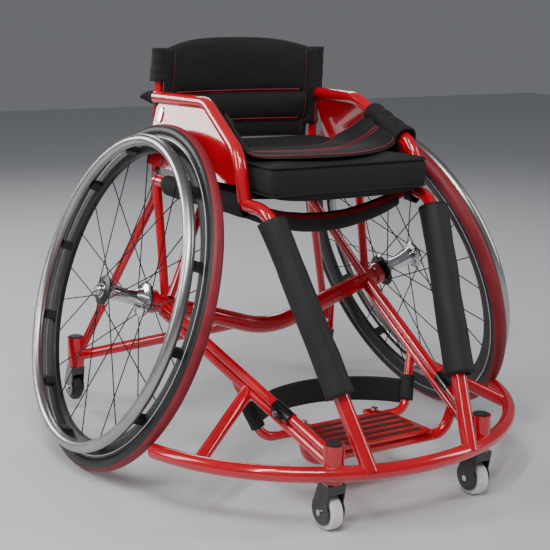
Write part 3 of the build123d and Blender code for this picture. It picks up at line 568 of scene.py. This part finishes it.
def backrest():
    """Padded back between the posts, with its piping, post sleeves, webs and straps."""
    columns, rows = 64, 72
    front, back = [], []
    for j in range(rows + 1):
        v = j / rows
        rowf, rowb = [], []
        for i in range(columns + 1):
            u = -1 + 2 * i / columns
            arch = 0.019 * (1 - abs(u) ** 3)
            top = BACK_TOP - 0.014 + arch
            z = BACK_LOW + (top - BACK_LOW) * v
            x = u * BACK_HALF
            y = back_y(x, z)
            rim = min(1.0, (1 - v) / 0.035) ** 0.5 * min(1.0, v / 0.03) ** 0.5
            p = Vector((x, y, z))
            fold = wrinkle(p, 0.045, 0.0016, 3.1) + wrinkle(p, 0.015, 0.0006, 5.0)
            rowf.append(Vector((x, y - back_bulge(u, z) * rim - fold - 0.0005, z)))
            rowb.append(Vector((x, y + 0.004 * rim + wrinkle(p, 0.06, 0.0015, 9.0) + 0.0005, z)))
        front.append(rowf)
        back.append(rowb)
    rings = []
    for rf, rb in zip(front, back):
        rings.append(rf + rb[::-1])
    obj = loft("back_pad", rings, mats["back_fabric"], "frame")
    sub = obj.modifiers.new("sub", "SUBSURF")
    sub.levels = sub.render_levels = 1
    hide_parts("back_upholstery")
    # red piping pairs across the pad
    for n, z in enumerate((0.6232, 0.6188, 0.5688, 0.5646)):
        pts = []
        for i in range(41):
            u = -0.86 + 1.72 * i / 40
            x = u * BACK_HALF
            pts.append(Vector((x, back_y(x, z) - back_bulge(u, z) - 0.0022, z)))
        tube(f"back_piping_{n}", pts, 0.0011, mats["piping_red"], "frame")
    # upright piping near each side
    for side in (1, -1):
        pts = []
        for i in range(31):
            z = BACK_LOW + 0.006 + (BACK_TOP - 0.024 - BACK_LOW) * i / 30
            u = side * (0.90 + 0.02 * math.sin(i / 30 * math.pi))
            x = u * BACK_HALF
            pts.append(Vector((x, back_y(x, z) - back_bulge(u, z) - 0.0012, z)))
        name = "back_edge_left" if side > 0 else "back_edge_right"
        tube(name, pts, 0.0013, mats["piping_dark"], "frame", up=Vector((0, -1, 0)))
    # sleeves round the posts with an overlapping flap
    for side in (1, -1):
        tag = "left" if side > 0 else "right"
        low = SLEEVE_LOW[side]
        rings, centres = [], []
        for j in range(25):
            z = low + (SLEEVE_TOP - low) * j / 24
            c = post_at(z, side)
            centres.append(c)
            flare = 1 + 0.05 * math.cos(j / 24 * math.pi) + 0.03 * math.sin(j * 0.9)
            ring = []
            for k in range(40):
                a = 2 * math.pi * k / 40
                rx = 0.0155 if math.cos(a) * side > 0 else 0.019
                ry = 0.0145
                squash = 1 + 0.05 * math.sin(3 * a + j * 0.15)
                ring.append(c + Vector((math.cos(a) * rx * flare * squash, math.sin(a) * ry * flare, 0)))
            rings.append(ring)
        inner = [[c0 + (p - c0) * 0.72 for p in ring] for ring, c0 in zip(rings, centres)]
        rings = rings + inner[::-1]
        sleeve = loft(
            f"back_sleeve_{tag}", rings, mats["back_fabric"], "frame", loop=True)
        # web that joins sleeve to pad
        rings = []
        for j in range(21):
            z = 0.556 + (0.702 - 0.556) * j / 20
            a = post_at(z, side) + Vector((-side * 0.004, -0.0135 if z > 0.62 else -0.0095, 0))
            b = Vector((side * 0.140, back_y(side * 0.140, z) - 0.010, z))
            ring = []
            for k in range(9):
                t = k / 8
                p = a.lerp(b, t)
                p.y -= 0.002 * math.sin(math.pi * t)
                ring.append(p + Vector((0, -0.0012, 0)))
            for k in range(8, -1, -1):
                t = k / 8
                p = a.lerp(b, t)
                p.y -= 0.002 * math.sin(math.pi * t)
                ring.append(p + Vector((0, 0.0012, 0)))
            rings.append(ring)
        web = loft(f"back_web_{tag}", rings, mats["back_fabric"], "frame")
        # dark red strap wrapped round the post below the sleeve
        rings = []
        for j in range(13):
            z = 0.556 + (0.620 - 0.556) * j / 12
            c = post_at(z, side)
            ring = [c + Vector((math.cos(a), math.sin(a), 0)) * (0.0098 + 0.0008 * math.sin(j * 1.3))
                    for a in (2 * math.pi * k / 24 for k in range(24))]
            rings.append(ring)
        loft(f"post_strap_{tag}", rings, mats["strap_red"], "frame")
    # loose pointed strap end behind each post
    for side in (1, -1):
        tag = "left" if side > 0 else "right"
        c = post_at(0.614, side) + Vector((side * 0.003, 0.009, 0))
        steps = ((0, 0, 0), (0.008, 0.008, 0.002), (0.016, 0.012, 0.002), (0.023, 0.014, 0.001))
        pts = [c + Vector((side * x, y, z)) for x, y, z in steps]
        path = smooth_path(pts, 5)
        rings = []
        for i, (p, _, across, lift) in enumerate(frames_along(path)):
            t = i / (len(path) - 1)
            w = 0.013 * (1 - 0.9 * t ** 1.3)
            ring = []
            for k in range(12):
                a = 2 * math.pi * k / 12
                ring.append(p + lift * math.sin(a) * w + across * math.cos(a) * 0.0018)
            rings.append(ring)
        loft(f"strap_end_{tag}", rings, mats["strap_fabric"], "frame")


# ---------------------------------------------------------------- lap belt
BELT = [
    # back edge, front edge (mm) from the near guard to the far one
    ((-146, 4, 606), (-149, -66, 561)),
    ((-147, 2, 588), (-150, -84, 549)),
    ((-139, -2, 556), (-145, -104, 546)),
    ((-126, -6, 546), (-132, -125, 546)),
    ((-107, -10, 545), (-112, -136, 546)),
    ((-75, -18, 545), (-82, -143, 546)),
    ((-35, -22, 545), (-40, -150, 546)),
    ((0, -20, 545), (0, -150, 546)),
    ((38, -8, 546), (36, -143, 546)),
    ((70, 12, 548), (66, -131, 546)),
    ((98, 36, 554), (94, -117, 547)),
    ((120, 36, 564), (120, -101, 549)),
    ((139, 28, 579), (140, -86, 553)),
    ((149, 12, 593), (151, -72, 562)),
]


BELT_COLUMNS = 22
BELT_VALLEY = 0.46
BELT_PAD = 0.0045
BELT_SLEEVE = (Vector((158.7, 9.8, 598.3)) * MM, Vector((170.1, -76.4, 559.7)) * MM)


def lap_belt():
    """Belt of two padded channels laid over the cushion, piped, with a sleeve on the left guard."""
    backs = smooth_path([Vector(a) * MM for a, b in BELT], 6)
    fronts = smooth_path([Vector(b) * MM for a, b in BELT], 6)
    rings = []
    for i, (a, b) in enumerate(zip(backs, fronts)):
        ring_top, ring_low = [], []
        across = b - a
        along = (backs[min(i + 1, len(backs) - 1)] - backs[max(i - 1, 0)]).normalized()
        lift = along.cross(across.normalized())
        if lift.z < 0 and abs(lift.z) > 0.2:
            lift = -lift
        if abs(lift.z) <= 0.2:
            lift = lift if lift.x * a.x < 0 else -lift
        lift.normalize()
        for k in range(BELT_COLUMNS + 1):
            t = k / BELT_COLUMNS
            p = a + across * t
            # two padded channels with a sewn valley between them
            channel = t / BELT_VALLEY if t < BELT_VALLEY else (t - BELT_VALLEY) / (1 - BELT_VALLEY)
            pad = BELT_PAD * abs(math.sin(math.pi * channel))
            edge = min(1, t / 0.04, (1 - t) / 0.04) ** 0.5
            ripple = wrinkle(p, 0.03, 0.0012, 2.2)
            ring_top.append(p + lift * ((0.0016 + pad + ripple) * edge + 0.0006))
            ring_low.append(p - lift * (0.0008 * edge + 0.0004))
        rings.append(ring_top + ring_low[::-1])
    belt = loft("lap_belt_pad", rings, mats["belt_fabric"], "frame")
    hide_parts("lap_belt")
    for n, t in enumerate((0.012, 0.43, 0.49, 0.955)):
        pts = []
        for i in range(6, len(rings) - 2):
            ring = rings[i]
            k = t * BELT_COLUMNS
            lo, frac = int(k), k - int(k)
            p = ring[lo].lerp(ring[min(lo + 1, BELT_COLUMNS)], frac)
            pts.append(p + Vector((0, 0, 0.0006)))
        tube(f"belt_piping_{n}", pts, 0.00105, mats["piping_red"], "frame", sides=6)
    # padded sleeve on the far guard tube, open at its lower end
    top, low = BELT_SLEEVE
    path = [top.lerp(low, i / 20) for i in range(21)]
    rings_out, rings_in = [], []
    axis = (low - top).normalized()
    side_dir = Vector((1, 0, 0))
    up_dir = side_dir.cross(axis).normalized()
    for i, p in enumerate(path):
        t = i / 20
        r = 0.0185 + 0.003 * t + 0.0008 * math.sin(i * 1.1)
        ring, hole = [], []
        for k in range(36):
            a = 2 * math.pi * k / 36
            d = side_dir * math.cos(a) + up_dir * math.sin(a)
            rr = r * (1 + 0.06 * math.sin(2 * a + 0.6) + 0.03 * math.sin(5 * a + i * 0.3))
            ring.append(p + d * rr)
            hole.append(p + d * max(0.0118, rr - 0.0045))
        rings_out.append(ring)
        rings_in.append(hole)
    sleeve = loft(
        "belt_sleeve", rings_out + rings_in[::-1], mats["belt_fabric"], "frame", loop=True)


# ---------------------------------------------------------------- leg pads
LEG_TOP = Vector((159.5, -168, 469.5)) * MM
LEG_RUN = (Vector((96.3, -380.7, 97)) * MM - LEG_TOP).normalized()


def leg_pad(side):
    """Padded sleeve round the bent lower end of a seat rail, lapped along its back."""
    tag = "left" if side > 0 else "right"
    outer, inner = [], []
    steps = 48
    side_dir = LEG_RUN.cross(Vector((0, 0, 1))).normalized()
    up_dir = side_dir.cross(LEG_RUN).normalized()
    for i in range(steps + 1):
        t = i / steps
        p = LEG_TOP + LEG_RUN * (0.017 + 0.292 * t)
        ring, hole = [], []
        for k in range(48):
            a = 2 * math.pi * k / 48
            d = side_dir * math.cos(a) + up_dir * math.sin(a)
            lap = 0.0022 * max(0.0, math.cos((a - 2.4) / 2)) ** 6
            step = 0.0020 if 2.4 < a < 3.6 else 0.0
            q = p + d * 0.022
            soft = wrinkle(Vector((q.x * side, q.y, q.z)), 0.05, 0.0014, 4.0)
            soft += wrinkle(q, 0.02, 0.0005, 1.0)
            flare = 0.0012 * (abs(2 * t - 1) ** 6)
            r = 0.0222 + lap + step + soft + flare
            ring.append(p + d * r)
            hole.append(p + d * max(0.0134, r - 0.0065))
        outer.append(ring)
        inner.append(hole)
    rings = outer + inner[::-1]
    rings = [[Vector((v.x * side, v.y, v.z)) for v in ring] for ring in rings]
    pad = loft(f"leg_sleeve_{tag}", rings, mats["pad_fabric"], "frame", loop=True)
    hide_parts(f"leg_pad_{tag}")


# ---------------------------------------------------------------- under-seat fabric
def front_arc(x):
    """Height of the bowed bar's middle at x."""
    a, b = 0.170, 0.037
    radius = (a * a + b * b) / (2 * b)
    return 0.431 + radius - math.sqrt(radius * radius - x * x)


def bar_sleeve():
    """Cover on the bowed bar under the seat, open along the bar's top front."""
    outer = []
    for i in range(61):
        x = -0.146 + 0.292 * i / 60
        z = front_arc(x)
        slope = x / 0.409
        d = Vector((1, 0, slope)).normalized()
        up_dir = Vector((0, 1, 0)).cross(d) * -1
        c = Vector((x, -0.083, z))
        ring, hole = [], []
        sag = 0.006 * (1 - (x / 0.146) ** 2)
        for k in range(25):
            # open at the top front, so the painted bar shows there
            a = math.radians(165 + 255 * k / 24)
            dirv = Vector((0, 1, 0)) * math.cos(a) + up_dir * math.sin(a)
            low = max(0.0, -math.sin(a))
            r = 0.0112 + (0.003 + sag) * low ** 1.5 + wrinkle(c + dirv * 0.01, 0.03, 0.0008, 8)
            ring.append(c + dirv * (r + 0.0012))
            hole.append(c + dirv * r)
        outer.append(ring + hole[::-1])
    cover = loft("bar_cover", outer, mats["pad_fabric"], "frame")
    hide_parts("front_bar_sleeve")


def rail_at(y):
    """Middle of the left seat rail at y."""
    t = (y + 0.168) / 0.299
    return Vector((0.1595 + 0.0525 * t, y, 0.4695 + 0.0105 * t))


def sling():
    """Sheet under the cushion, sewn into a sleeve round each rail."""
    rings = []
    ys = [-0.112 + 0.212 * i / 40 for i in range(41)]
    for y in ys:
        r = rail_at(y)
        top, low = [], []
        for k in range(31):
            u = -1 + 2 * k / 30
            x = u * (r.x - 0.006)
            sag = 0.004 * (1 - u * u)
            p = Vector((x, y, 0.4815 - sag + wrinkle(Vector((x, y, 0)), 0.05, 0.001, 6)))
            top.append(p + Vector((0, 0, 0.0012)))
            low.append(p - Vector((0, 0, 0.0012)))
        rings.append(top + low[::-1])
    sheet = loft("sling_sheet", rings, mats["sling_fabric"], "frame")
    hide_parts("seat_sling")
    for side in (1, -1):
        tag = "left" if side > 0 else "right"
        outer, inner = [], []
        for i in range(31):
            y = -0.114 + 0.214 * i / 30
            c = rail_at(y)
            ring, hole = [], []
            for k in range(32):
                a = 2 * math.pi * k / 32
                dx, dz = math.cos(a), math.sin(a)
                low = max(0.0, -dz)
                rr = 0.0132 + 0.0085 * low ** 2 + 0.0006 * math.sin(i * 0.8 + k)
                ring.append(Vector((side * (c.x + dx * 0.0135), y, c.z + dz * rr)))
                hole.append(Vector((side * (c.x + dx * 0.0121), y, c.z + dz * max(0.0121, rr - 0.002))))
            outer.append(ring)
            inner.append(hole)
        sleeve = loft(
            f"sling_sleeve_{tag}", outer + inner[::-1], mats["sling_fabric"], "frame",
            loop=True)


# ---------------------------------------------------------------- calf strap
def calf_strap():
    """Webbing behind the calves, with a loop round each upright of the rear foot tube."""
    radius = 0.2035
    cy = -0.0535 - radius
    half = math.asin(0.150 / radius)
    rings = []
    for i in range(61):
        a = -half + 2 * half * i / 60
        x, y = math.sin(a) * radius, cy + math.cos(a) * radius
        out = Vector((math.sin(a), math.cos(a), 0))
        ring_o, ring_i = [], []
        for k in range(13):
            t = k / 12
            z = 0.0915 + 0.0445 * t - 0.0025 * (x / 0.15)
            p = Vector((x, y, z)) + out * (wrinkle(Vector((x, y, z)), 0.05, 0.0015, 7))
            edge = 0.0004 if 0 < k < 12 else 0.0
            ring_o.append(p + out * (0.0012 + edge))
            ring_i.append(p - out * (0.0012 + edge))
        rings.append(ring_o + ring_i[::-1])
    strap = loft("calf_band", rings, mats["strap_fabric"], "frame")
    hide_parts("calf_strap")
    base = Vector((158.9, -125.6, 118)) * MM
    run = Vector((35.5, 34, 102)).normalized()
    for side in (1, -1):
        tag = "left" if side > 0 else "right"
        outer, inner = [], []
        a_dir = run.cross(Vector((0, 1, 0))).normalized()
        b_dir = run.cross(a_dir).normalized()
        for i in range(17):
            c = base + run * (-0.022 + 0.044 * i / 16)
            ring, hole = [], []
            for k in range(28):
                a = 2 * math.pi * k / 28
                d = a_dir * math.cos(a) + b_dir * math.sin(a)
                r = 0.0112 + 0.0006 * math.sin(3 * a + i * 0.3)
                ring.append(c + d * (r + 0.0012))
                hole.append(c + d * (r - 0.001))
            outer.append(ring)
            inner.append(hole)
        rings = [[Vector((v.x * side, v.y, v.z)) for v in ring] for ring in outer + inner[::-1]]
        loop = loft(f"calf_loop_{tag}", rings, mats["strap_fabric"], "frame", loop=True)


backrest()
lap_belt()
leg_pad(1)
leg_pad(-1)
bar_sleeve()
sling()
calf_strap()


# ---------------------------------------------------------------- stage
def stage_plane():
    """Plain matte floor."""
    mesh = bpy.data.meshes.new("floor")
    bm = bmesh.new()
    bmesh.ops.create_grid(bm, x_segments=1, y_segments=1, size=6)
    bm.to_mesh(mesh)
    bm.free()
    obj = bpy.data.objects.new("floor", mesh)
    obj.location.z = -0.0005
    bpy.context.scene.collection.objects.link(obj)
    mat, _, shader = new_material("floor")
    shader.inputs["Base Color"].default_value = (0.62, 0.63, 0.65, 1)
    shader.inputs["Roughness"].default_value = 0.75
    mesh.materials.append(mat)


stage_plane()


def area_light(name, at, target, size, power):
    """Rectangular lamp that faces the target."""
    data = bpy.data.lights.new(name, "AREA")
    data.shape = "RECTANGLE"
    data.size, data.size_y = size
    data.energy = power
    obj = bpy.data.objects.new(name, data)
    obj.location = at
    obj.rotation_euler = (Vector(target) - Vector(at)).to_track_quat("-Z", "Y").to_euler()
    bpy.context.scene.collection.objects.link(obj)


CENTRE = (0, 0, 0.35)
area_light("key", (-0.9, -1.6, 2.5), CENTRE, (0.9, 0.6), 30)
area_light("left", (-2.4, 0.3, 1.6), CENTRE, (0.5, 1.8), 24)
area_light("right", (2.2, -1.4, 1.5), CENTRE, (0.5, 1.8), 20)
area_light("side", (-1.45, 1.85, 1.15), CENTRE, (1.0, 0.8), 22)
area_light("strip", (-1.3, -1.0, 2.1), CENTRE, (0.12, 1.8), 22)
area_light("rear", (0.8, 2.4, 1.9), CENTRE, (1.6, 0.6), 18)

world = bpy.data.worlds.new("studio")
world.use_nodes = True
world.node_tree.nodes["Background"].inputs["Color"].default_value = (0.92, 0.95, 1.0, 1)
world.node_tree.nodes["Background"].inputs["Strength"].default_value = 0.16
bpy.context.scene.world = world

# ---------------------------------------------------------------- camera
CAMERA_AT = Vector((-1.103, -1.780, 0.808))
RIGHT = Vector((0.8617, -0.5071, 0.0174))
UP = Vector((0.1018, 0.2064, 0.9732))
LOOK = Vector((0.4971, 0.8368, -0.2295))
camera_data = bpy.data.cameras.new("camera")
camera_data.sensor_width = 36
camera_data.lens = 79.161
camera = bpy.data.objects.new("camera", camera_data)
basis = Matrix((RIGHT, UP, -LOOK)).transposed().to_4x4()
basis.translation = CAMERA_AT
camera.matrix_world = basis
bpy.context.scene.collection.objects.link(camera)
bpy.context.scene.camera = camera
